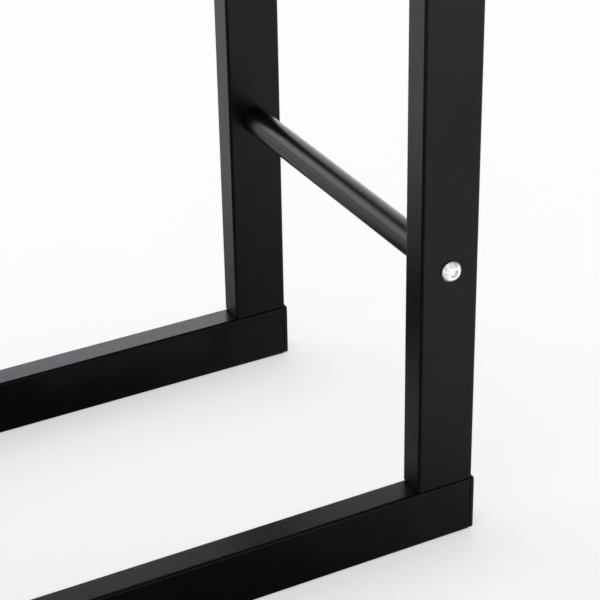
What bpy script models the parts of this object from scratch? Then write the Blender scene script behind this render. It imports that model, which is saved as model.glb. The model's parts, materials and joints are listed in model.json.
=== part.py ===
"""Firewood log rack, as a bolted assembly of separate pieces.

Two upright frames of rectangular steel tube, one in front and one behind, stand on their own
bottom rails. Four round bars join them at the sides. Logs lie across the two bottom rails,
between the left and right uprights. Each rail runs past the uprights' ends, so a long bolt
through the rail pulls it against a nut plate set in the upright's end, and a plastic cap
closes each end of the rail.

Axes: +X to the right, +Y to the rear, +Z up. The origin is on the floor, under the middle.
"""

import math

import bmesh
import bpy
from mathutils import Matrix

# The rack as a whole, in metres.
RACK_WIDTH = 0.400
RACK_DEPTH = 0.280
RACK_HEIGHT = 1.160

# Rectangular tube of the frames: the wide side faces front and rear.
TUBE_WIDE = 0.040
TUBE_THIN = 0.020
TUBE_WALL = 0.0012
TUBE_CORNER = 0.0020

# Round cross bars: their axis is this far from the floor, and as far from the top.
BAR_DIAMETER = 0.019
BAR_WALL = 0.0015
BAR_HEIGHT = 0.196
BAR_PLUG_LENGTH = 0.025
PLUG_CHAMFER = 0.0008

# M8 button head bolts with a 5 mm hexagon socket.
BOLT_SHANK = 0.0078
BOLT_HEAD = 0.0140
BOLT_HEAD_HEIGHT = 0.0044
BOLT_HEAD_RIM = 0.0007
BOLT_HEAD_FLAT = 0.0076
BOLT_TIP_CHAMFER = 0.0010
SOCKET_ACROSS_FLATS = 0.0050
SOCKET_DEPTH = 0.0026
BAR_BOLT_LENGTH = 0.040
TOP_BOLT_LENGTH = 0.060
BOTTOM_BOLT_LENGTH = 0.020
THREAD_BORE = 0.0084
CLEARANCE_HOLE = 0.0090
ACCESS_HOLE = 0.0155

# Nut plate in each end of an upright: a flat plate with a hexagon nut welded to it.
PLATE_THICKNESS = 0.0030
NUT_ACROSS_FLATS = 0.0130
NUT_HEIGHT = 0.0065

# Plastic cap in each end of a rail: an outer flange, and a hollow plug with one barb.
CAP_REACH = 0.0020
CAP_FLANGE = 0.0027
CAP_FLANGE_INSET = 0.0002
CAP_EDGE = 0.0006
CAP_PLUG_LENGTH = 0.0095
CAP_PLUG_WALL = 0.0014
CAP_BARB_AT = 0.0050
CAP_BARB_HEIGHT = 0.0006

# Pieces that touch keep this gap.
FIT_GAP = 0.0003

# Steps round a tube's corner, a bar, and a turned piece or a hole, and up a bolt's dome.
CORNER_STEPS = 3
BAR_STEPS = 36
TURNED_STEPS = 18
DOME_STEPS = 3

# Placing that follows from the sizes above.
UPRIGHT_X = (RACK_WIDTH - TUBE_WIDE) / 2
FRAME_Y = (RACK_DEPTH - TUBE_THIN) / 2
BAY_HEIGHT = RACK_HEIGHT - 2 * TUBE_WIDE
UPRIGHT_LENGTH = BAY_HEIGHT - 2 * FIT_GAP
RAIL_LENGTH = RACK_WIDTH + 2 * (CAP_REACH - CAP_FLANGE - FIT_GAP)
BAR_LENGTH = RACK_DEPTH - 2 * TUBE_THIN - 2 * FIT_GAP
BAR_OFFSET = RACK_HEIGHT / 2 - BAR_HEIGHT
HOLLOW_WIDE = TUBE_WIDE - 2 * TUBE_WALL
HOLLOW_THIN = TUBE_THIN - 2 * TUBE_WALL
HOLLOW_CORNER = TUBE_CORNER - TUBE_WALL

SIDES = (("left", -1), ("right", 1))
FRAMES = (("front", -1), ("rear", 1))
LEVELS = (("lower", -1), ("upper", 1))

QUARTER_TURN = math.pi / 2


def make_finish(name, colour, roughness, metallic):
    """A Principled material."""
    material = bpy.data.materials.new(name)
    material.use_nodes = True
    shader = material.node_tree.nodes["Principled BSDF"]
    shader.inputs["Base Color"].default_value = (*colour, 1.0)
    shader.inputs["Roughness"].default_value = roughness
    shader.inputs["Metallic"].default_value = metallic
    material.diffuse_color = (*colour, 1.0)
    return material


def rounded_rectangle(width, depth, radius):
    """Outline of a rectangle with round corners, anticlockwise, centred on the origin."""
    points = []
    for corner, (side_x, side_y) in enumerate(((1, 1), (-1, 1), (-1, -1), (1, -1))):
        for step in range(CORNER_STEPS + 1):
            angle = QUARTER_TURN * (corner + step / CORNER_STEPS)
            x = side_x * (width / 2 - radius) + radius * math.cos(angle)
            y = side_y * (depth / 2 - radius) + radius * math.sin(angle)
            points.append((x, y))
    return points


def circle(radius, steps=TURNED_STEPS):
    """Outline of a circle, anticlockwise, centred on the origin."""
    angles = [2 * math.pi * step / steps for step in range(steps)]
    return [(radius * math.cos(angle), radius * math.sin(angle)) for angle in angles]


def hexagon(across_flats, steps=TURNED_STEPS):
    """Outline of a hexagon, with as many points as a circle so that the two can be skinned."""
    points = []
    for x, y in circle(1.0, steps):
        from_flat = math.atan2(y, x) % (math.pi / 3) - math.pi / 6
        radius = across_flats / 2 / math.cos(from_flat)
        points.append((radius * x, radius * y))
    return points


def skin(rings, is_loop):
    """A mesh stretched over rings of equal point counts, each an outline and its height.

    In a loop the last ring joins the first, as for a tube. Otherwise both ends are filled.
    """
    mesh = bmesh.new()
    loops = [[mesh.verts.new((x, y, height)) for x, y in outline] for outline, height in rings]
    pairs = list(zip(loops, loops[1:]))
    if is_loop:
        pairs.append((loops[-1], loops[0]))
    else:
        mesh.faces.new(loops[0])
        mesh.faces.new(loops[-1])
    for lower, upper in pairs:
        count = len(lower)
        for here in range(count):
            after = (here + 1) % count
            mesh.faces.new((lower[here], lower[after], upper[after], upper[here]))
    bmesh.ops.recalc_face_normals(mesh, faces=mesh.faces)
    return mesh


def add_object(name, mesh, finish, location, rotation=(0, 0, 0)):
    """A named object from a bmesh, shaded smooth except at its hard edges."""
    data = bpy.data.meshes.new(name)
    mesh.to_mesh(data)
    mesh.free()
    data.shade_smooth()
    data.set_sharp_from_angle(angle=math.radians(32))
    piece = bpy.data.objects.new(name, data)
    piece.location = location
    piece.rotation_euler = rotation
    bpy.context.scene.collection.objects.link(piece)
    if finish is not None:
        data.materials.append(finish)
    return piece


def drill(piece, holes):
    """Cut round holes, each a diameter, a centre, an axis and a depth in the piece's frame."""
    turns = {
        "X": Matrix.Rotation(QUARTER_TURN, 4, "Y"),
        "Y": Matrix.Rotation(QUARTER_TURN, 4, "X"),
        "Z": Matrix.Identity(4),
    }
    mesh = bmesh.new()
    for diameter, centre, axis, depth in holes:
        bmesh.ops.create_cone(
            mesh,
            cap_ends=True,
            segments=TURNED_STEPS,
            radius1=diameter / 2,
            radius2=diameter / 2,
            depth=depth,
            matrix=Matrix.Translation(centre) @ turns[axis],
        )
    cutter = add_object(piece.name + "_drill", mesh, None, (0, 0, 0))
    cutter.parent = piece
    cutter.hide_render = True
    cutter.display_type = "WIRE"
    cut = piece.modifiers.new("drill", "BOOLEAN")
    cut.operation = "DIFFERENCE"
    cut.solver = "EXACT"
    cut.object = cutter


def rectangular_tube(length):
    """Open tube along Z, centred, with its wide side along X."""
    outer = rounded_rectangle(TUBE_WIDE, TUBE_THIN, TUBE_CORNER)
    inner = rounded_rectangle(HOLLOW_WIDE, HOLLOW_THIN, HOLLOW_CORNER)
    ends = (-length / 2, length / 2)
    rings = [(outer, ends[0]), (outer, ends[1]), (inner, ends[1]), (inner, ends[0])]
    return skin(rings, is_loop=True)


def round_tube(length):
    """Open round tube along Z, centred."""
    outer = circle(BAR_DIAMETER / 2, BAR_STEPS)
    inner = circle(BAR_DIAMETER / 2 - BAR_WALL, BAR_STEPS)
    ends = (-length / 2, length / 2)
    rings = [(outer, ends[0]), (outer, ends[1]), (inner, ends[1]), (inner, ends[0])]
    return skin(rings, is_loop=True)


def button_head_bolt(length):
    """Bolt with its shank along -Z and its domed head on +Z, seated at the origin."""
    shank = BOLT_SHANK / 2
    head = BOLT_HEAD / 2
    flat = BOLT_HEAD_FLAT / 2
    rings = [
        (circle(shank - BOLT_TIP_CHAMFER), -length),
        (circle(shank), -length + BOLT_TIP_CHAMFER),
        (circle(shank), 0),
        (circle(head), 0),
    ]
    for step in range(DOME_STEPS + 1):
        angle = QUARTER_TURN * step / DOME_STEPS
        radius = flat + (head - flat) * math.cos(angle)
        height = BOLT_HEAD_RIM + (BOLT_HEAD_HEIGHT - BOLT_HEAD_RIM) * math.sin(angle)
        rings.append((circle(radius), height))
    rings.append((hexagon(SOCKET_ACROSS_FLATS), BOLT_HEAD_HEIGHT))
    rings.append((hexagon(SOCKET_ACROSS_FLATS), BOLT_HEAD_HEIGHT - SOCKET_DEPTH))
    return skin(rings, is_loop=False)


def threaded_plug():
    """Turned plug that fills a bar's end, with a threaded bore, from the origin up +Z."""
    outer = BAR_DIAMETER / 2 - BAR_WALL - FIT_GAP
    rings = [
        (circle(THREAD_BORE / 2), 0),
        (circle(outer - PLUG_CHAMFER), 0),
        (circle(outer), PLUG_CHAMFER),
        (circle(outer), BAR_PLUG_LENGTH - PLUG_CHAMFER),
        (circle(outer - PLUG_CHAMFER), BAR_PLUG_LENGTH),
        (circle(THREAD_BORE / 2), BAR_PLUG_LENGTH),
    ]
    return skin(rings, is_loop=True)


def nut_blank():
    """The nut of a nut plate, rising along +Z from just below the plate's upper face."""
    overlap = PLATE_THICKNESS / 2
    rings = [
        (hexagon(NUT_ACROSS_FLATS), overlap),
        (hexagon(NUT_ACROSS_FLATS), PLATE_THICKNESS + NUT_HEIGHT),
    ]
    return skin(rings, is_loop=False)


def plate_blank():
    """The plate of a nut plate, from the origin up +Z."""
    outline = rounded_rectangle(HOLLOW_WIDE - 2 * FIT_GAP, HOLLOW_THIN - 2 * FIT_GAP, HOLLOW_CORNER)
    return skin([(outline, 0), (outline, PLATE_THICKNESS)], is_loop=False)


def end_cap():
    """Rail cap: a flange on +Z with an eased edge, and a cup with a barb on -Z."""
    wide = TUBE_WIDE - 2 * CAP_FLANGE_INSET
    thin = TUBE_THIN - 2 * CAP_FLANGE_INSET
    barb_wide = HOLLOW_WIDE - 2 * FIT_GAP
    barb_thin = HOLLOW_THIN - 2 * FIT_GAP

    def inset(outer_wide, outer_thin, amount):
        return rounded_rectangle(outer_wide - 2 * amount, outer_thin - 2 * amount, TUBE_CORNER - CAP_EDGE)

    plug = inset(barb_wide, barb_thin, CAP_BARB_HEIGHT)
    cup = inset(barb_wide, barb_thin, CAP_BARB_HEIGHT + CAP_PLUG_WALL)
    barb = inset(barb_wide, barb_thin, 0)
    face = FIT_GAP + CAP_FLANGE
    rings = [
        (inset(wide, thin, CAP_EDGE), face),
        (inset(wide, thin, CAP_EDGE * 0.3), face - CAP_EDGE * 0.3),
        (inset(wide, thin, 0), face - CAP_EDGE),
        (inset(wide, thin, 0), FIT_GAP),
        (plug, FIT_GAP),
        (plug, FIT_GAP - CAP_BARB_AT),
        (barb, FIT_GAP - CAP_BARB_AT - CAP_BARB_HEIGHT),
        (plug, FIT_GAP - CAP_BARB_AT - 3 * CAP_BARB_HEIGHT),
        (plug, -CAP_PLUG_LENGTH),
        (cup, -CAP_PLUG_LENGTH),
        (cup, FIT_GAP),
    ]
    return skin(rings, is_loop=False)


def add_rails(coated, plastic):
    """The four rails and the caps in their ends."""
    for frame, rear in FRAMES:
        for level, up in LEVELS:
            name = f"{frame}_{'top' if up > 0 else 'bottom'}_rail"
            centre = (0, rear * FRAME_Y, RACK_HEIGHT / 2 + up * (RACK_HEIGHT - TUBE_WIDE) / 2)
            rail = add_object(name, rectangular_tube(RAIL_LENGTH), coated, centre, (0, QUARTER_TURN, 0))
            drill(rail, rail_holes(up))
            for side, right in SIDES:
                place = (right * RAIL_LENGTH / 2, centre[1], centre[2])
                turn = (0, right * QUARTER_TURN, 0)
                add_object(f"{name}_{side}_cap", end_cap(), plastic, place, turn)


def rail_holes(up):
    """Bolt holes over each upright. A bottom rail's lower wall has wide ones, for the bolt head.

    In the rail's own frame X points down, and Z runs along the rail.
    """
    holes = []
    for _, right in SIDES:
        along = right * UPRIGHT_X
        outer_wall = TUBE_WIDE / 2 * -up
        holes.append((CLEARANCE_HOLE, (-outer_wall, 0, along), "X", TUBE_WIDE / 2))
        outer_hole = CLEARANCE_HOLE if up > 0 else ACCESS_HOLE
        holes.append((outer_hole, (outer_wall, 0, along), "X", TUBE_WIDE / 2))
    return holes


def add_uprights(coated, steel, zinc):
    """The four uprights, the nut plates in their ends, and the bolts that hold the rails."""
    bar_holes = [
        (CLEARANCE_HOLE, (0, 0, up * BAR_OFFSET), "Y", 2 * TUBE_THIN) for _, up in LEVELS
    ]
    for frame, rear in FRAMES:
        for side, right in SIDES:
            x = right * UPRIGHT_X
            y = rear * FRAME_Y
            name = f"{frame}_{side}_upright"
            upright = add_object(name, rectangular_tube(UPRIGHT_LENGTH), coated, (x, y, RACK_HEIGHT / 2))
            drill(upright, bar_holes)
            for level, up in LEVELS:
                end = (x, y, RACK_HEIGHT / 2 + up * UPRIGHT_LENGTH / 2)
                add_nut_plate(f"{frame}_{side}_{level}_nut_plate", steel, end, up)
                add_frame_bolt(f"{frame}_{side}_{level}_rail_bolt", zinc, x, y, up)


def add_nut_plate(name, steel, end, up):
    """A nut plate flush with an upright's end, its nut inside the upright."""
    flip = (2 * QUARTER_TURN if up > 0 else 0, 0, 0)
    plate = add_object(name, plate_blank(), steel, end, flip)
    nut = add_object(name + "_nut", nut_blank(), None, (0, 0, 0))
    nut.parent = plate
    nut.hide_render = True
    nut.display_type = "WIRE"
    weld = plate.modifiers.new("weld", "BOOLEAN")
    weld.operation = "UNION"
    weld.solver = "EXACT"
    weld.object = nut
    drill(plate, [(THREAD_BORE, (0, 0, 0), "Z", 4 * (PLATE_THICKNESS + NUT_HEIGHT))])


def add_frame_bolt(name, zinc, x, y, up):
    """Above, the head sits on the top rail. Below, it is inside the bottom rail, facing down."""
    if up > 0:
        seat = RACK_HEIGHT + FIT_GAP
        add_object(name, button_head_bolt(TOP_BOLT_LENGTH), zinc, (x, y, seat))
    else:
        seat = TUBE_WIDE - TUBE_WALL - FIT_GAP
        turn = (2 * QUARTER_TURN, 0, 0)
        add_object(name, button_head_bolt(BOTTOM_BOLT_LENGTH), zinc, (x, y, seat), turn)


def add_cross_bars(coated, steel, zinc):
    """The four bars between the frames, with a threaded plug and a bolt at each end."""
    for level, up in LEVELS:
        for side, right in SIDES:
            x = right * UPRIGHT_X
            z = RACK_HEIGHT / 2 + up * BAR_OFFSET
            name = f"{level}_{side}_cross_bar"
            add_object(name, round_tube(BAR_LENGTH), coated, (x, 0, z), (QUARTER_TURN, 0, 0))
            for frame, rear in FRAMES:
                plug_place = (x, rear * BAR_LENGTH / 2, z)
                plug_turn = (rear * QUARTER_TURN, 0, 0)
                add_object(f"{name}_{frame}_plug", threaded_plug(), steel, plug_place, plug_turn)
                bolt_place = (x, rear * (RACK_DEPTH / 2 + FIT_GAP), z)
                bolt_turn = (-rear * QUARTER_TURN, 0, 0)
                bolt = button_head_bolt(BAR_BOLT_LENGTH)
                add_object(f"{name}_{frame}_bolt", bolt, zinc, bolt_place, bolt_turn)


def group_under_empty():
    """Hold every piece under one empty, so that the rack can be placed as a whole."""
    rack = bpy.data.objects.new("log_rack", None)
    bpy.context.scene.collection.objects.link(rack)
    for piece in bpy.context.scene.objects:
        if piece.type == "MESH" and piece.parent is None:
            piece.parent = rack


def main():
    for leftover in list(bpy.data.objects):
        bpy.data.objects.remove(leftover, do_unlink=True)
    coated = make_finish("matt_black_powder_coat", (0.018, 0.018, 0.019), 0.55, 0.0)
    plastic = make_finish("black_moulded_plastic", (0.015, 0.015, 0.016), 0.45, 0.0)
    zinc = make_finish("bright_zinc_plate", (0.72, 0.73, 0.75), 0.25, 1.0)
    steel = make_finish("plain_turned_steel", (0.42, 0.42, 0.43), 0.40, 1.0)
    add_rails(coated, plastic)
    add_uprights(coated, steel, zinc)
    add_cross_bars(coated, steel, zinc)
    group_under_empty()


main()
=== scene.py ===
import json
import math

import bmesh
import bpy
from mathutils import Euler, Matrix, Vector

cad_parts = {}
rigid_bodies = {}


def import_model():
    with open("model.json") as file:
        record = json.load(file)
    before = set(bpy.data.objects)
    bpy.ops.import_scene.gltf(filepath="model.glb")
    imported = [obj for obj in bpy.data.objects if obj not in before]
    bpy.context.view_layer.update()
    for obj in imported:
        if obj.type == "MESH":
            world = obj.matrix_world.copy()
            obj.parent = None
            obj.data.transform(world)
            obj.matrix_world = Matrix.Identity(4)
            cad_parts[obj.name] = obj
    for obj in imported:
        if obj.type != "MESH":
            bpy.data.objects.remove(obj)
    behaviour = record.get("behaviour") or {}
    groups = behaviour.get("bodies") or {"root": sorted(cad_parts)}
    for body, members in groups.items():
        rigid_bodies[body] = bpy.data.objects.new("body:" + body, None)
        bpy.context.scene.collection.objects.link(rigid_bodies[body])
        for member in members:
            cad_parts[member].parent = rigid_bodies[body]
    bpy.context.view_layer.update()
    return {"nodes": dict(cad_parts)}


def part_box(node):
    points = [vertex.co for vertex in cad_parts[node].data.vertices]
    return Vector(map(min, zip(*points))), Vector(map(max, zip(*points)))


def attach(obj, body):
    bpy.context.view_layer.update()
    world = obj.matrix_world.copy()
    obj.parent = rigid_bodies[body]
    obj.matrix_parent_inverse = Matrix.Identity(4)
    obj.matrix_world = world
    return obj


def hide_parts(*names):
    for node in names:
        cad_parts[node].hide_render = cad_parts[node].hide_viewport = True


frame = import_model()

# Sizes of the pieces where the frame's boxes don't give them. Lengths are in metres.
# NUT_FACE is a share of the nut's width, and CAP_RIB_START of the pitch of the ribs.
TUBE_WALL = 0.0012
TUBE_CORNER = 0.0020
TUBE_END_ROUND = 0.0010
BAR_WALL = 0.0015
BAR_END_ROUND = 0.0004
CLEARANCE_HOLE = 0.0090
ACCESS_HOLE = 0.0155
HOLE_BREAK = 0.0003

BOLT_SHANK = 0.0078
THREAD_PITCH = 0.00125
THREAD_DEPTH = 0.00055
THREAD_RUNOUT = 0.0012
THREAD_TOP = -0.0016
HEAD_HEIGHT = 0.0044
HEAD_EDGE = 0.0003
HEAD_RIM = 0.0006
HEAD_FLAT = 0.0034
SOCKET_ACROSS_FLATS = 0.0050
SOCKET_LIP = 0.0003
SOCKET_DEPTH = 0.0026
SOCKET_CONE = 0.0007
SOCKET_CONE_TIP = 0.0006

BORE = 0.0084
BORE_THREAD = 0.0004
COUNTERSINK = 0.0005
STEEL_CHAMFER = 0.0008
PLATE_THICKNESS = 0.0030
PLATE_CORNER = 0.0008
PLATE_EDGE = 0.0003
NUT_ACROSS_FLATS = 0.0130
NUT_CHAMFER = math.radians(30)
NUT_FACE = 0.95
WELD_LEG = 0.0012

CAP_FLANGE = 0.0024
CAP_FLANGE_BACK = 0.0002
CAP_ROUND = 0.0007
CAP_LEAST_CORNER = 0.0004
CAP_CLEARANCE = 0.0001
CAP_PLUG_WALL = 0.0014
CAP_RIBS = 3
CAP_RIB_START = 0.7
CAP_RIB_HEIGHT = 0.0005
CAP_RIB_RISE = 0.0003
CAP_RIB_CREST = 0.0007
CAP_RIB_FALL = 0.0016
GATE_RADIUS = 0.0011
GATE_FLOOR_RADIUS = 0.00066
GATE_DEPTH = 0.00015

# How far each bolt is turned from the one before, in degrees, and the turn that a socket hides.
BOLT_TURN = 37
SOCKET_REPEAT = 60

# How finely round shapes are divided.
CORNER_STEPS = 8
ROUND_STEPS = 36
BAR_STEPS = 72
ARC_STEPS = 4
CAP_ROUND_STEPS = 6
DOME_STEPS = 10
STEPS_PER_PITCH = 4

# Digits that places are compared to, and how the meshes are shaded.
PLACE_DIGITS = 5
SHARP_ANGLE = math.radians(40)
FLAT_FACE_WEIGHT = 100

# The camera: where it stands, the way that it looks, in degrees, and its lens, in millimetres.
CAMERA_PLACE = (-0.3886, -1.0360, 0.7606)
CAMERA_AZIMUTH = 27.48
CAMERA_DOWN = 28.86
CAMERA_ROLL = -1.05
CAMERA_LENS = 119.35
CAMERA_SENSOR = 36
CAMERA_NEAR = 0.05

# The floor, and below it the lamps that shine up and the light table that the rack mirrors.
FLOOR_REACH = 40.0
FLOOR_HEIGHT = -0.0004
FLOOR_GLOW = 0.52
LAMP_HEIGHT = -0.0008
TABLE_HEIGHT = -0.0010
TABLE_WARM = (1.0, 0.975, 0.91)
TABLE_COOL = (0.84, 0.83, 0.86)
TABLE_MIDDLE = (-0.10, -0.04, 0)
TABLE_DIM = 0.03
TABLE_FULL = 1.14
TABLE_NEAR = 0.16
TABLE_FAR = 0.57
TABLE_RIM = 1.9
TABLE_RIM_START = 0.95
TABLE_RIM_END = 2.2
TABLE_BRIGHT_WAY = (0.887, 0.462, 0)
TABLE_DARK_SHARE = 0.1
TABLE_DARK_END = -0.34
TABLE_BRIGHT_START = -0.05
TABLE_COOL_WAY = (0.4, -0.8, 0)
TABLE_COOL_BLEND = 0.1

# The sky's glow low down and above, and the two ways in which it is fuller or dark.
SKY_LOW = 1.1
SKY_LOW_END = 0.05
SKY_EVEN = 0.75
SKY_EVEN_START = 0.40
SKY_FULL = 0.55
SKY_FULL_WAY = (-0.55, 0.83, 0.05)
SKY_FULL_START = 0.5
SKY_DARK_SHARE = 0.12
SKY_DARK_WAY = (0.30, -0.45, 0.84)
SKY_DARK_START = 0.60
SKY_DARK_END = 0.95

QUARTER_TURN = math.pi / 2
WHOLE_TURN = 2 * math.pi


def nodes_ending(ending):
    """The CAD nodes of one kind, in the frame's own order."""
    return [name for name in frame["nodes"] if name.endswith(ending)]


# ---------------------------------------------------------------- outlines and skins

def rounded_rectangle(width, depth, radius):
    """Outline of a rectangle with round corners, anticlockwise, centred on the origin."""
    points = []
    for corner, (side_x, side_y) in enumerate(((1, 1), (-1, 1), (-1, -1), (1, -1))):
        for step in range(CORNER_STEPS + 1):
            angle = QUARTER_TURN * (corner + step / CORNER_STEPS)
            x = side_x * (width / 2 - radius) + radius * math.cos(angle)
            y = side_y * (depth / 2 - radius) + radius * math.sin(angle)
            points.append((x, y))
    return points


def circle(radius, steps=ROUND_STEPS):
    """Outline of a circle, anticlockwise, centred on the origin."""
    angles = [WHOLE_TURN * step / steps for step in range(steps)]
    return [(radius * math.cos(angle), radius * math.sin(angle)) for angle in angles]


def hexagon(across_flats, steps=ROUND_STEPS):
    """Outline of a hexagon with as many points as a circle."""
    points = []
    for x, y in circle(1.0, steps):
        from_flat = math.atan2(y, x) % (math.pi / 3) - math.pi / 6
        radius = across_flats / 2 / math.cos(from_flat)
        points.append((radius * x, radius * y))
    return points


def lifted(outline, height):
    """The outline's points as a ring in space."""
    return [Vector((x, y, height)) for x, y in outline]


def skin(rings, is_loop):
    """A mesh over rings of equal point counts. A loop joins last to first, else ends are filled."""
    mesh = bmesh.new()
    loops = [[mesh.verts.new(point) for point in ring] for ring in rings]
    pairs = list(zip(loops, loops[1:]))
    if is_loop:
        pairs.append((loops[-1], loops[0]))
    else:
        mesh.faces.new(loops[0])
        mesh.faces.new(loops[-1])
    for lower, upper in pairs:
        count = len(lower)
        for here in range(count):
            after = (here + 1) % count
            mesh.faces.new((lower[here], lower[after], upper[after], upper[here]))
    bmesh.ops.recalc_face_normals(mesh, faces=mesh.faces)
    return mesh


def add_piece(node, mesh, matrix, finish):
    """A finished piece that stands for the CAD node and rides on its body."""
    data = bpy.data.meshes.new(node + "_fine")
    mesh.to_mesh(data)
    mesh.free()
    data.shade_smooth()
    data.set_sharp_from_angle(angle=SHARP_ANGLE)
    data.materials.append(finish)
    piece = bpy.data.objects.new(node + "_fine", data)
    piece.matrix_world = matrix
    bpy.context.scene.collection.objects.link(piece)
    weighted = piece.modifiers.new("flat_faces_stay_flat", "WEIGHTED_NORMAL")
    weighted.keep_sharp = True
    weighted.weight = FLAT_FACE_WEIGHT
    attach(piece, "root")
    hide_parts(node)
    return piece


def node_frame(node, long_axis, wide_axis):
    """Matrix at a node's middle, with local Z along one world axis and local X along another."""
    low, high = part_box(node)
    z_axis = Vector(long_axis)
    x_axis = Vector(wide_axis)
    y_axis = z_axis.cross(x_axis)
    turn = Matrix((x_axis, y_axis, z_axis)).transposed().to_4x4()
    return Matrix.Translation((Vector(low) + Vector(high)) / 2) @ turn


# ---------------------------------------------------------------- tubes and bars

def arc_insets(radius, steps=ARC_STEPS):
    """Pairs of inset and height that round an edge off, from the end face to the side."""
    pairs = []
    for step in range(steps + 1):
        angle = QUARTER_TURN * step / steps
        pairs.append((radius * (1 - math.sin(angle)), radius * (1 - math.cos(angle))))
    return pairs


def rectangular_tube(wide, thin, length):
    """Open tube along Z with round corners and eased ends."""
    def outline(inset):
        return rounded_rectangle(wide - 2 * inset, thin - 2 * inset, TUBE_CORNER - inset)

    half = length / 2
    eased = arc_insets(TUBE_END_ROUND)
    rings = [lifted(outline(inset), -half + rise) for inset, rise in eased]
    rings += [lifted(outline(inset), half - rise) for inset, rise in reversed(eased)]
    rings += [lifted(outline(TUBE_WALL), half), lifted(outline(TUBE_WALL), -half)]
    return skin(rings, is_loop=True)


def round_tube(diameter, wall, length):
    """Open round tube along Z with eased ends."""
    half = length / 2
    eased = arc_insets(BAR_END_ROUND)
    outer = diameter / 2
    rings = [lifted(circle(outer - inset, BAR_STEPS), -half + rise) for inset, rise in eased]
    rings += [lifted(circle(outer - inset, BAR_STEPS), half - rise) for inset, rise in reversed(eased)]
    inner = circle(outer - wall, BAR_STEPS)
    rings += [lifted(inner, half), lifted(inner, -half)]
    return skin(rings, is_loop=True)


def hole_cutter(diameter, depth):
    """Cutter along Z from the origin down, flared above the surface to break the hole's edge."""
    radius = diameter / 2
    rings = [
        lifted(circle(radius), -depth),
        lifted(circle(radius), -HOLE_BREAK),
        lifted(circle(radius + 2 * HOLE_BREAK), HOLE_BREAK),
    ]
    return skin(rings, is_loop=False)


def bored(mesh, cutters):
    """The mesh with each cutter taken out of it."""
    scene = bpy.context.scene.collection.objects
    base = bpy.data.objects.new("blank", bpy.data.meshes.new("blank"))
    mesh.to_mesh(base.data)
    mesh.free()
    scene.link(base)
    tools = []
    for number, (cutter, place) in enumerate(cutters):
        cutter.transform(place)
        tool = bpy.data.objects.new(f"cutter_{number}", bpy.data.meshes.new(f"cutter_{number}"))
        cutter.to_mesh(tool.data)
        cutter.free()
        scene.link(tool)
        cut = base.modifiers.new("cut", "BOOLEAN")
        cut.object = tool
        cut.operation = "DIFFERENCE"
        cut.solver = "EXACT"
        tools.append(tool)
    evaluated = base.evaluated_get(bpy.context.evaluated_depsgraph_get())
    result = bmesh.new()
    result.from_mesh(evaluated.to_mesh())
    evaluated.to_mesh_clear()
    for helper in [base, *tools]:
        data = helper.data
        bpy.data.objects.remove(helper, do_unlink=True)
        bpy.data.meshes.remove(data)
    return result


def facing(direction, place):
    """Matrix that puts local Z along a direction at a place."""
    turn = Vector(direction).to_track_quat("Z", "Y").to_matrix().to_4x4()
    return Matrix.Translation(place) @ turn


def build_uprights(coat):
    """Uprights, with holes through both walls for the cross bars' bolts."""
    bars = [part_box(name) for name in nodes_ending("cross_bar")]
    heights = sorted({round((low[2] + high[2]) / 2, PLACE_DIGITS) for low, high in bars})
    for node in nodes_ending("upright"):
        low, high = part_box(node)
        place = node_frame(node, (0, 0, 1), (1, 0, 0))
        thin = high[1] - low[1]
        tube = rectangular_tube(high[0] - low[0], thin, high[2] - low[2])
        cutters = []
        for height in heights:
            along = height - place.translation.z
            for side in (-1, 1):
                spot = Vector((0, side * thin / 2, along))
                cutter = hole_cutter(CLEARANCE_HOLE, thin / 2)
                cutters.append((cutter, facing((0, side, 0), spot)))
        add_piece(node, bored(tube, cutters), place, coat)


def build_rails(coat):
    """Rails, with holes for the uprights' bolts and larger ones below the bottom bolts' heads."""
    uprights = [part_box(name) for name in nodes_ending("upright")]
    bolt_places = sorted({round((low[0] + high[0]) / 2, PLACE_DIGITS) for low, high in uprights})
    rails = []
    for node in nodes_ending("rail"):
        low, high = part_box(node)
        place = node_frame(node, (1, 0, 0), (0, 0, 1))
        wide = high[2] - low[2]
        tube = rectangular_tube(wide, high[1] - low[1], high[0] - low[0])
        cutters = []
        for along in bolt_places:
            for up in (-1, 1):
                is_access = up < 0 and "bottom" in node
                diameter = ACCESS_HOLE if is_access else CLEARANCE_HOLE
                spot = Vector((up * wide / 2, 0, along))
                cutter = hole_cutter(diameter, wide / 2)
                cutters.append((cutter, facing((up, 0, 0), spot)))
        rails.append(add_piece(node, bored(tube, cutters), place, coat))
    return rails


def build_bars(coat):
    """Round cross bars, open at both ends for their plugs."""
    bars = []
    for node in nodes_ending("cross_bar"):
        low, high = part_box(node)
        place = node_frame(node, (0, 1, 0), (1, 0, 0))
        bar = round_tube(high[0] - low[0], BAR_WALL, high[1] - low[1])
        bars.append(add_piece(node, bar, place, coat))
    return bars


# ---------------------------------------------------------------- bolts

def thread_tooth(height, angle):
    """How far out a helical thread is, from 0 in its groove to 1 on its crest."""
    phase = (height / THREAD_PITCH - angle / WHOLE_TURN) % 1.0
    return abs(2 * phase - 1)


def thread_rings(start, end, radius_at):
    """Rings along Z whose points have the radius that a function gives for a height and an angle."""
    count = round(abs(end - start) / THREAD_PITCH * STEPS_PER_PITCH)
    rings = []
    for step in range(count + 1):
        height = start + (end - start) * step / count
        angles = [WHOLE_TURN * spoke / ROUND_STEPS for spoke in range(ROUND_STEPS)]
        outline = [(radius_at(height, angle), angle) for angle in angles]
        rings.append([Vector((r * math.cos(a), r * math.sin(a), height)) for r, a in outline])
    return rings


def runout(from_end):
    """Share of the thread's depth at a distance from where it ends."""
    return min(1.0, max(0.0, from_end / THREAD_RUNOUT))


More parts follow.
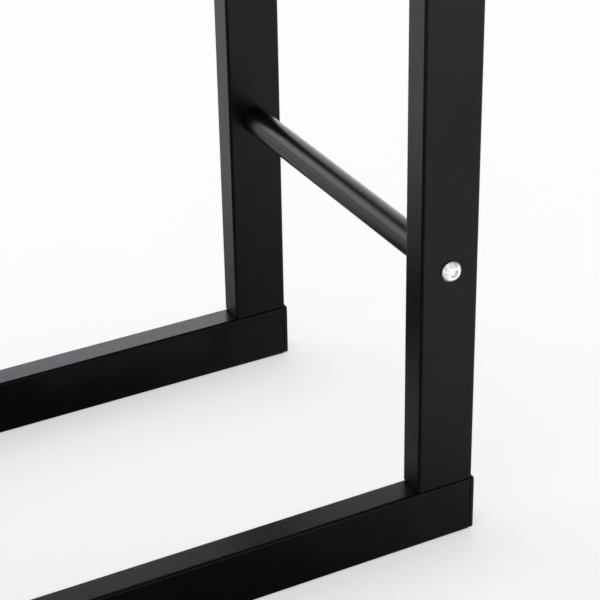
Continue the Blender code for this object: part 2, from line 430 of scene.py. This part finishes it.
def dome_points(outer):
    """Radius and height of a spherical dome from the head's rim up to its flat top."""
    rise = HEAD_HEIGHT - HEAD_RIM
    centre = (HEAD_FLAT ** 2 - outer ** 2 + rise ** 2) / (2 * rise)
    ball = math.hypot(outer, centre)
    rim_angle = math.atan2(-centre, outer)
    top_angle = math.atan2(rise - centre, HEAD_FLAT)
    points = []
    for step in range(DOME_STEPS + 1):
        angle = rim_angle + (top_angle - rim_angle) * step / DOME_STEPS
        points.append((ball * math.cos(angle), HEAD_RIM + centre + ball * math.sin(angle)))
    return points


def button_head_bolt(shank, head, length, twist):
    """Bolt seated at the origin, head on +Z, with a helical thread and a hexagon socket."""
    crest = shank / 2
    tip = -length

    def radius_at(height, angle):
        from_tip = runout(height - tip)
        groove = (1 - thread_tooth(height, angle)) * min(from_tip, runout(THREAD_TOP - height))
        return crest - THREAD_DEPTH * (groove + 1 - from_tip)

    rings = thread_rings(tip, THREAD_TOP, radius_at)
    rings.append(lifted(circle(crest), 0))
    outer = head / 2
    rings.append(lifted(circle(outer - HEAD_EDGE), 0))
    rings.append(lifted(circle(outer), HEAD_EDGE))
    for radius, height in dome_points(outer):
        rings.append(lifted(circle(radius), height))
    socket = hexagon(SOCKET_ACROSS_FLATS)
    rings.append(lifted(hexagon(SOCKET_ACROSS_FLATS + 2 * SOCKET_LIP), HEAD_HEIGHT))
    rings.append(lifted(socket, HEAD_HEIGHT - SOCKET_LIP))
    floor = HEAD_HEIGHT - SOCKET_DEPTH
    rings.append(lifted(socket, floor))
    rings.append(lifted(circle(SOCKET_CONE_TIP), floor - SOCKET_CONE))
    bolt = skin(rings, is_loop=False)
    bolt.transform(Matrix.Rotation(twist, 4, "Z"))
    return bolt


def build_bolts(zinc):
    """Each bolt's head is at the end of its box that the other pieces leave free."""
    bolts = []
    for number, node in enumerate(sorted(nodes_ending("bolt"))):
        low, high = (Vector(corner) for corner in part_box(node))
        size = high - low
        axis = max(range(3), key=lambda index: size[index])
        out = Vector((0, 0, 0))
        out[axis] = head_side(node)
        seat = (low + high) / 2
        seat[axis] = (high if out[axis] > 0 else low)[axis] - out[axis] * HEAD_HEIGHT
        head = size[(axis + 1) % 3]
        twist = math.radians(number * BOLT_TURN % SOCKET_REPEAT)
        bolt = button_head_bolt(BOLT_SHANK, head, size[axis] - HEAD_HEIGHT, twist)
        bolts.append(add_piece(node, bolt, facing(out, seat), zinc))
    return bolts


def head_side(node):
    """Which way along its axis a bolt's head faces: outward, or down on the bottom rails."""
    if "cross_bar" in node:
        return -1 if "front" in node else 1
    return -1 if "lower" in node else 1


# ---------------------------------------------------------------- plugs and nut plates

def tapped_bore(top, bottom):
    """Rings down a threaded bore, with a countersink at each end."""
    mouth = circle(BORE / 2 + COUNTERSINK)

    def radius_at(height, angle):
        fade = min(runout(top - height), runout(height - bottom))
        return BORE / 2 + BORE_THREAD * thread_tooth(height, angle) * fade

    thread = thread_rings(top - COUNTERSINK, bottom + COUNTERSINK, radius_at)
    return [lifted(mouth, top), *thread, lifted(mouth, bottom)]


def threaded_plug(diameter, length):
    """Turned plug along Z, centred on the origin, with a tapped bore."""
    half = length / 2
    body = circle(diameter / 2)
    end = circle(diameter / 2 - STEEL_CHAMFER)
    rings = [
        lifted(end, -half),
        lifted(body, -half + STEEL_CHAMFER),
        lifted(body, half - STEEL_CHAMFER),
        lifted(end, half),
    ]
    return skin(rings + tapped_bore(half, -half), is_loop=True)


def build_plugs(steel):
    """Each lies in a cross bar's end."""
    for node in nodes_ending("plug"):
        low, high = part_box(node)
        plug = threaded_plug(high[0] - low[0], high[1] - low[1])
        add_piece(node, plug, node_frame(node, (0, 1, 0), (1, 0, 0)), steel)


def nut_ring(height, cone):
    """A hexagon nut's outline, cut back to a cone's radius where it passes it."""
    corners = hexagon(NUT_ACROSS_FLATS)
    shares = [min(1.0, cone / math.hypot(x, y)) for x, y in corners]
    return lifted([(x * share, y * share) for (x, y), share in zip(corners, shares)], height)


def nut_plate(wide, thin, height):
    """Plate from the origin up +Z, with a chamfered nut welded on it and a tapped bore."""
    def outline(inset):
        return rounded_rectangle(wide - 2 * inset, thin - 2 * inset, PLATE_CORNER - inset)

    rings = [
        lifted(outline(PLATE_EDGE), 0),
        lifted(outline(0), PLATE_EDGE),
        lifted(outline(0), PLATE_THICKNESS - PLATE_EDGE),
        lifted(outline(PLATE_EDGE), PLATE_THICKNESS),
    ]
    corner = NUT_ACROSS_FLATS / math.sqrt(3)
    for inset, rise in arc_insets(WELD_LEG):
        across = NUT_ACROSS_FLATS + 2 * (WELD_LEG - rise)
        rings.append(lifted(hexagon(across), PLATE_THICKNESS + WELD_LEG - inset))
    face = NUT_FACE * NUT_ACROSS_FLATS / 2
    chamfer = (corner - face) * math.tan(NUT_CHAMFER)
    for step in range(ARC_STEPS + 1):
        share = step / ARC_STEPS
        rings.append(nut_ring(height - chamfer * (1 - share), corner + (face - corner) * share))
    return skin(rings + tapped_bore(height, 0), is_loop=True)


def build_nut_plates(steel):
    """Each lies flush with an upright's end, with its nut inside the upright."""
    for node in nodes_ending("nut_plate"):
        low, high = (Vector(corner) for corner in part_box(node))
        size = high - low
        inward = -1 if "upper" in node else 1
        place = (low + high) / 2
        place.z = high.z if inward < 0 else low.z
        turn = Matrix.Rotation(0 if inward > 0 else math.pi, 4, "X")
        plate = nut_plate(size.x, size.y, size.z)
        add_piece(node, plate, Matrix.Translation(place) @ turn, steel)


# ---------------------------------------------------------------- rail caps

def rail_cap(wide, thin, reach):
    """Cap with its flange's outer face at the origin, facing +Z, and a ribbed cup behind it."""
    def outline(inset):
        corner = max(TUBE_CORNER - inset, CAP_LEAST_CORNER)
        return rounded_rectangle(wide - 2 * inset, thin - 2 * inset, corner)

    plug_inset = TUBE_WALL + CAP_CLEARANCE + CAP_RIB_HEIGHT
    gate = len(outline(0))
    rings = [
        lifted(circle(GATE_FLOOR_RADIUS, gate), -GATE_DEPTH),
        lifted(circle(GATE_RADIUS, gate), 0),
    ]
    for inset, drop in arc_insets(CAP_ROUND, CAP_ROUND_STEPS):
        rings.append(lifted(outline(inset), -drop))
    rings.append(lifted(outline(0), -CAP_FLANGE + CAP_FLANGE_BACK))
    rings.append(lifted(outline(CAP_FLANGE_BACK), -CAP_FLANGE))
    rings.append(lifted(outline(plug_inset), -CAP_FLANGE))
    rib_pitch = (reach - CAP_FLANGE) / (CAP_RIBS + 1)
    for rib in range(CAP_RIBS):
        start = -CAP_FLANGE - rib_pitch * (rib + CAP_RIB_START)
        rings.append(lifted(outline(plug_inset), start))
        rings.append(lifted(outline(plug_inset - CAP_RIB_HEIGHT), start - CAP_RIB_RISE))
        rings.append(lifted(outline(plug_inset - CAP_RIB_HEIGHT), start - CAP_RIB_CREST))
        rings.append(lifted(outline(plug_inset), start - CAP_RIB_FALL))
    rings.append(lifted(outline(plug_inset), -reach))
    rings.append(lifted(outline(plug_inset + CAP_PLUG_WALL), -reach))
    rings.append(lifted(outline(plug_inset + CAP_PLUG_WALL), -CAP_FLANGE))
    return skin(rings, is_loop=False)


def build_caps(plastic):
    """Each closes a rail's end, with its flange outside."""
    for node in nodes_ending("cap"):
        low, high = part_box(node)
        side = 1 if "right" in node else -1
        place = node_frame(node, (side, 0, 0), (0, 0, 1))
        place.translation.x = high[0] if side > 0 else low[0]
        cap = rail_cap(high[2] - low[2], high[1] - low[1], high[0] - low[0])
        add_piece(node, cap, place, plastic)


# ---------------------------------------------------------------- materials

class TreeNodes:
    """A node tree, with short ways to add and link its nodes."""

    def __init__(self, tree, coordinates):
        self.tree = tree
        self.place = tree.nodes.new("ShaderNodeTexCoord").outputs[coordinates]

    def link(self, source, target):
        self.tree.links.new(source, target)

    def noise(self, scale, detail, roughness=0.5):
        node = self.tree.nodes.new("ShaderNodeTexNoise")
        node.inputs["Scale"].default_value = scale
        node.inputs["Detail"].default_value = detail
        node.inputs["Roughness"].default_value = roughness
        self.link(self.place, node.inputs["Vector"])
        return node.outputs["Fac"]

    def vector_math(self, operation, source, other):
        node = self.tree.nodes.new("ShaderNodeVectorMath")
        node.operation = operation
        node.inputs[1].default_value = other
        self.link(source, node.inputs[0])
        return node.outputs["Value"]

    def scalar_math(self, operation, one, other):
        node = self.tree.nodes.new("ShaderNodeMath")
        node.operation = operation
        self.link(one, node.inputs[0])
        self.link(other, node.inputs[1])
        return node.outputs["Value"]

    def product(self, one, other):
        return self.scalar_math("MULTIPLY", one, other)

    def total(self, one, other):
        return self.scalar_math("ADD", one, other)

    def ranged(self, source, low, high, start=0.3, end=0.7, shape="LINEAR"):
        node = self.tree.nodes.new("ShaderNodeMapRange")
        node.interpolation_type = shape
        node.inputs["From Min"].default_value = start
        node.inputs["From Max"].default_value = end
        node.inputs["To Min"].default_value = low
        node.inputs["To Max"].default_value = high
        self.link(source, node.inputs["Value"])
        return node.outputs["Result"]

    def colours(self, source, dark, light):
        node = self.tree.nodes.new("ShaderNodeMix")
        node.data_type = "RGBA"
        node.inputs["A"].default_value = (*dark, 1)
        node.inputs["B"].default_value = (*light, 1)
        self.link(source, node.inputs["Factor"])
        return node.outputs["Result"]


class Nodes(TreeNodes):
    """A Principled material's nodes, patterned in the piece's own coordinates."""

    def __init__(self, name):
        self.material = bpy.data.materials.new(name)
        self.material.use_nodes = True
        super().__init__(self.material.node_tree, "Object")
        self.shader = self.tree.nodes["Principled BSDF"]

    def set_inputs(self, **values):
        for name, value in values.items():
            self.shader.inputs[name.replace("_", " ")].default_value = value

    def mottle(self, dark, light, **noise):
        """Colour that wanders between two tones."""
        tone = self.ranged(self.noise(**noise), 0, 1)
        self.link(self.colours(tone, dark, light), self.shader.inputs["Base Color"])

    def vary_roughness(self, low, high, **noise):
        self.link(self.ranged(self.noise(**noise), low, high), self.shader.inputs["Roughness"])

    def relief(self, strength, distance, under=None, **noise):
        """Fine bumps, over an earlier relief where there is one."""
        node = self.tree.nodes.new("ShaderNodeBump")
        node.inputs["Strength"].default_value = strength
        node.inputs["Distance"].default_value = distance
        self.link(self.noise(**noise), node.inputs["Height"])
        if under is not None:
            self.link(under, node.inputs["Normal"])
        self.link(node.outputs["Normal"], self.shader.inputs["Normal"])
        return node.outputs["Normal"]


def powder_coat():
    """Matt black powder coat: a dark film with fine orange peel and a dry, low sheen."""
    nodes = Nodes("matt_black_powder_coat")
    nodes.set_inputs(Metallic=0.0, Specular_IOR_Level=0.19)
    nodes.mottle((0.0020, 0.0020, 0.0022), (0.0045, 0.0044, 0.0043), scale=35, detail=3)
    nodes.vary_roughness(0.26, 0.34, scale=180, detail=4, roughness=0.6)
    peel = nodes.relief(strength=0.35, distance=0.00014, scale=620, detail=2)
    nodes.relief(strength=0.30, distance=0.00004, scale=2600, detail=2, under=peel)
    return nodes.material


def moulded_plastic():
    """Black moulded plastic, a little glossier than the coat, with a faint spark texture."""
    nodes = Nodes("black_moulded_plastic")
    nodes.set_inputs(Metallic=0.0, Specular_IOR_Level=0.25)
    nodes.mottle((0.010, 0.010, 0.011), (0.014, 0.014, 0.014), scale=60, detail=2)
    nodes.vary_roughness(0.38, 0.48, scale=250, detail=3)
    nodes.relief(strength=0.35, distance=0.00006, scale=1900, detail=3)
    return nodes.material


def zinc_plate():
    """Bright zinc plate on the bolts, with small stains and a faint satin break-up."""
    nodes = Nodes("bright_zinc_plate")
    nodes.set_inputs(Metallic=1.0)
    nodes.mottle((0.70, 0.72, 0.74), (0.90, 0.91, 0.92), scale=450, detail=4, roughness=0.6)
    nodes.vary_roughness(0.24, 0.38, scale=900, detail=3)
    nodes.relief(strength=0.2, distance=0.00004, scale=1500, detail=3)
    return nodes.material


def plain_steel():
    """Turned and pressed steel of the hidden plugs and nut plates, with a thin oil film."""
    nodes = Nodes("plain_steel")
    nodes.set_inputs(Metallic=1.0)
    nodes.mottle((0.30, 0.29, 0.28), (0.48, 0.48, 0.49), scale=220, detail=4, roughness=0.6)
    nodes.vary_roughness(0.28, 0.45, scale=700, detail=3)
    nodes.relief(strength=0.2, distance=0.00003, scale=2500, detail=2)
    return nodes.material


# ---------------------------------------------------------------- stage, light and camera

def stage_plane(name, height, material):
    """A large level plane that isn't part of the rack."""
    mesh = bmesh.new()
    bmesh.ops.create_grid(mesh, x_segments=1, y_segments=1, size=FLOOR_REACH)
    data = bpy.data.meshes.new(name)
    mesh.to_mesh(data)
    mesh.free()
    data.materials.append(material)
    plane = bpy.data.objects.new(name, data)
    plane.location = (0, 0, height)
    bpy.context.scene.collection.objects.link(plane)
    return plane


def build_floor():
    """A plain pale floor that takes a faint shadow. The rack doesn't mirror it."""
    nodes = Nodes("pale_floor")
    nodes.set_inputs(Base_Color=(0.80, 0.80, 0.80, 1), Roughness=0.9, Specular_IOR_Level=0.0)
    nodes.set_inputs(Emission_Color=(1, 1, 1, 1), Emission_Strength=FLOOR_GLOW)
    floor = stage_plane("floor", FLOOR_HEIGHT, nodes.material)
    floor.visible_glossy = False
    floor.visible_diffuse = False
    floor.visible_shadow = False


def build_light_table():
    """What the rack mirrors below it: dim underneath and in front to the left, bright far out."""
    nodes = Nodes("light_table")
    nodes.set_inputs(Base_Color=(0, 0, 0, 1), Roughness=1.0, Specular_IOR_Level=0.0)
    away = nodes.vector_math("DISTANCE", nodes.place, TABLE_MIDDLE)
    near = nodes.ranged(away, TABLE_DIM, TABLE_FULL, TABLE_NEAR, TABLE_FAR, "SMOOTHSTEP")
    rim = nodes.ranged(away, 0, TABLE_RIM, TABLE_RIM_START, TABLE_RIM_END, "SMOOTHSTEP")
    across = nodes.vector_math("DOT_PRODUCT", nodes.place, TABLE_BRIGHT_WAY)
    share = nodes.ranged(across, TABLE_DARK_SHARE, 1.0, TABLE_DARK_END, TABLE_BRIGHT_START)
    glow = nodes.total(nodes.product(near, share), rim)
    nodes.link(glow, nodes.shader.inputs["Emission Strength"])
    frontward = nodes.vector_math("DOT_PRODUCT", nodes.place, TABLE_COOL_WAY)
    cool = nodes.ranged(frontward, 0, 1, -TABLE_COOL_BLEND, TABLE_COOL_BLEND)
    nodes.link(nodes.colours(cool, TABLE_WARM, TABLE_COOL), nodes.shader.inputs["Emission Color"])
    table = stage_plane("light_table", TABLE_HEIGHT, nodes.material)
    table.visible_camera = False
    table.visible_shadow = False


def add_softbox(name, place, aim, width, height, radiance, tint=(1, 1, 1), pieces=None):
    """A rectangle of even radiance, hidden from the camera, that lights these pieces or all."""
    data = bpy.data.lights.new(name, "AREA")
    data.shape = "RECTANGLE"
    data.size = width
    data.size_y = height
    data.energy = radiance * math.pi * width * height
    data.color = tint
    light = bpy.data.objects.new(name, data)
    turn = (Vector(aim) - Vector(place)).to_track_quat("-Z", "Y").to_matrix().to_4x4()
    light.matrix_world = Matrix.Translation(place) @ turn
    light.visible_camera = False
    bpy.context.scene.collection.objects.link(light)
    if pieces:
        lit = bpy.data.collections.new("lit_by_" + name)
        for piece in pieces:
            lit.objects.link(piece)
        light.light_linking.receiver_collection = lit


def build_lights(rails, bars, bolts):
    """Softboxes, most of them for the pieces whose gloss they draw, so that the floor stays even."""
    add_softbox("back_softbox", place=(-0.62, 1.36, 0.95), aim=(0.18, 0, 0.2),
                width=0.85, height=0.75, radiance=3.9, pieces=bars)
    add_softbox("bar_edge_softbox", place=(0.85, 1.01, 0.67), aim=(0.18, 0, 0.2),
                width=0.80, height=0.75, radiance=1.35, pieces=bars)
    add_softbox("low_strip", place=(0.42, 0.48, 0.25), aim=(0.42, 0, 0.25),
                width=0.80, height=0.22, radiance=2.85, tint=(0.95, 0.95, 1.05), pieces=rails)
    add_softbox("bolt_softbox", place=(0.35, -0.9, 1.25), aim=(0.18, -0.15, 0.2),
                width=2.2, height=2.2, radiance=0.75, pieces=bolts)
    add_softbox("bolt_floor_glow", place=(0.1, -0.6, LAMP_HEIGHT), aim=(0.1, -0.6, 1),
                width=1.6, height=1.2, radiance=0.75, pieces=bolts)
    add_softbox("floor_glow", place=(0.09, 0.01, LAMP_HEIGHT), aim=(0.09, 0.01, 1),
                width=0.14, height=0.14, radiance=0.28, tint=(1, 0.98, 0.93))


def build_world():
    """Soft white surroundings: fuller low down and behind to the left, and dark high up in front.

    What the camera itself sees beyond the floor is an even white.
    """
    world = bpy.data.worlds.new("studio")
    world.use_nodes = True
    nodes = TreeNodes(world.node_tree, "Generated")
    up = nodes.vector_math("DOT_PRODUCT", nodes.place, (0, 0, 1))
    even = nodes.ranged(up, SKY_LOW, SKY_EVEN, SKY_LOW_END, SKY_EVEN_START, "SMOOTHSTEP")
    near_full = nodes.vector_math("DOT_PRODUCT", nodes.place, Vector(SKY_FULL_WAY).normalized())
    full = nodes.ranged(near_full, 0, SKY_FULL, SKY_FULL_START, 1.0, "SMOOTHSTEP")
    near_dark = nodes.vector_math("DOT_PRODUCT", nodes.place, Vector(SKY_DARK_WAY).normalized())
    share = nodes.ranged(near_dark, 1.0, SKY_DARK_SHARE, SKY_DARK_START, SKY_DARK_END, "SMOOTHSTEP")
    sky = nodes.tree.nodes["Background"]
    nodes.link(nodes.product(nodes.total(even, full), share), sky.inputs["Strength"])
    backdrop = nodes.tree.nodes.new("ShaderNodeBackground")
    for shader in (sky, backdrop):
        shader.inputs["Color"].default_value = (1, 1, 1, 1)
    choice = nodes.tree.nodes.new("ShaderNodeMixShader")
    nodes.link(nodes.tree.nodes.new("ShaderNodeLightPath").outputs["Is Camera Ray"], choice.inputs[0])
    nodes.link(sky.outputs[0], choice.inputs[1])
    nodes.link(backdrop.outputs[0], choice.inputs[2])
    nodes.link(choice.outputs[0], nodes.tree.nodes["World Output"].inputs["Surface"])
    bpy.context.scene.world = world


def build_camera():
    """Camera at the photo's viewing angle, as near as one without lens shift comes to it."""
    data = bpy.data.cameras.new("camera")
    data.lens = CAMERA_LENS
    data.sensor_width = CAMERA_SENSOR
    data.clip_start = CAMERA_NEAR
    camera = bpy.data.objects.new("camera", data)
    aim = Euler((math.radians(90 - CAMERA_DOWN), 0, math.radians(-CAMERA_AZIMUTH))).to_matrix()
    roll = Matrix.Rotation(math.radians(CAMERA_ROLL), 3, "Z")
    camera.matrix_world = Matrix.Translation(CAMERA_PLACE) @ (aim @ roll).to_4x4()
    bpy.context.scene.collection.objects.link(camera)
    bpy.context.scene.camera = camera


build_camera()
build_world()
build_floor()
build_light_table()
coat = powder_coat()
build_uprights(coat)
rails = build_rails(coat)
bars = build_bars(coat)
bolts = build_bolts(zinc_plate())
build_lights(rails, bars, bolts)
build_caps(moulded_plastic())
steel = plain_steel()
build_plugs(steel)
build_nut_plates(steel)

bpy.context.scene.view_settings.view_transform = "Standard"
